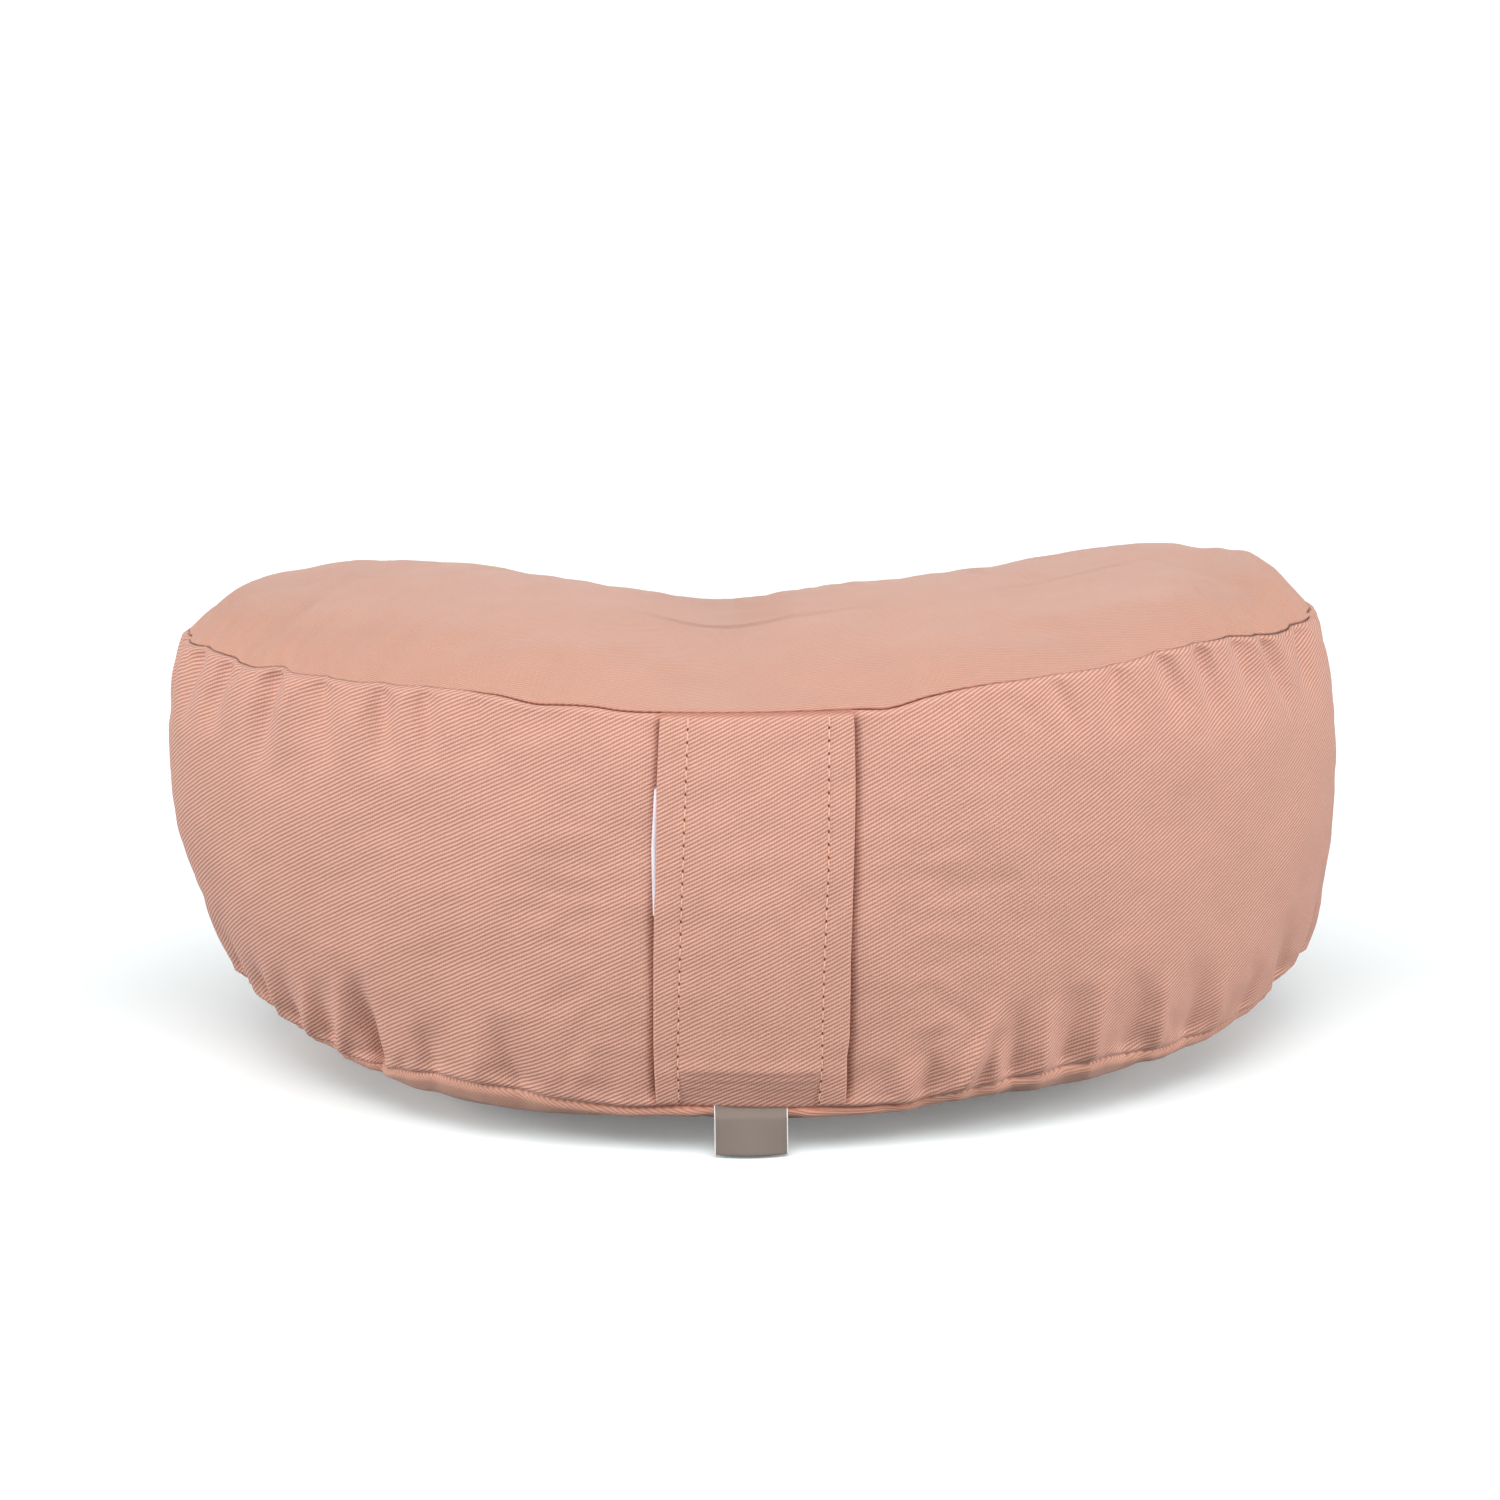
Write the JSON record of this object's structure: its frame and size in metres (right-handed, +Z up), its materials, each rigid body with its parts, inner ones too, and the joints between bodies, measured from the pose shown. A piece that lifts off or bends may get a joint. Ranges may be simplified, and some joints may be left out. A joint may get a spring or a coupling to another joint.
{
  "type": "crescent meditation cushion",
  "caption": "Crescent-shaped filled floor cushion for sitting, with a crowned top, a gathered side band, a flat carrying strap over the front and a bare tag in the base seam.",
  "frame": {"origin": "on the floor, under the middle of the bounding box of the cushion as it stands on its base", "axes": "+X to the right seen from the front, +Y backwards into the hollow of the crescent, +Z up; the strap faces -Y"},
  "size_m": [0.4328, 0.2394, 0.1805],
  "materials": {
    "cover_cloth": "matt salmon-pink cotton twill",
    "strap_cloth": "the same twill, folded and topstitched in a matching thread",
    "tag_ribbon": "bare taupe woven ribbon with pale selvedges",
    "label_satin": "plain white satin label ribbon"
  },
  "bodies": {
    "root": {"cushion": "cover_cloth", "handle_strap": "strap_cloth", "seam_tag": "tag_ribbon", "care_label": "label_satin"}
  },
  "joints": []
}
